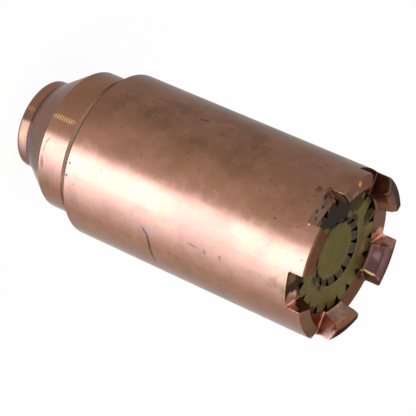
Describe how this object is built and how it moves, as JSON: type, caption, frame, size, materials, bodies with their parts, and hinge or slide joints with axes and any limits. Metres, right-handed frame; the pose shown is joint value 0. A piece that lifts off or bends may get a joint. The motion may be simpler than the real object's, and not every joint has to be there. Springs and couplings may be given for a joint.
{
  "type": "gas torch heating nozzle",
  "caption": "Copper gas heating nozzle with a castellated crown round grooved brass jets, and a coned tail with a socket for the gas tube.",
  "frame": {"origin": "Middle of the rear face of the neck, which the nozzle stands on.", "axes": "+Z runs along the nozzle from the gas inlet to the crown. +X runs through the middle of one of the six crown slots."},
  "size_m": [0.035, 0.035, 0.0773],
  "materials": {
    "turned_copper": "bright turned copper with fine tool marks",
    "worn_copper": "handled copper, mottled by heat, with scratches and small pits",
    "jet_brass": "dull yellow brass with dark soot in the grooves"
  },
  "bodies": {
    "root": {"tail": "turned_copper", "shell": "worn_copper", "jet_ring": "jet_brass", "jet_core": "jet_brass"}
  },
  "joints": []
}
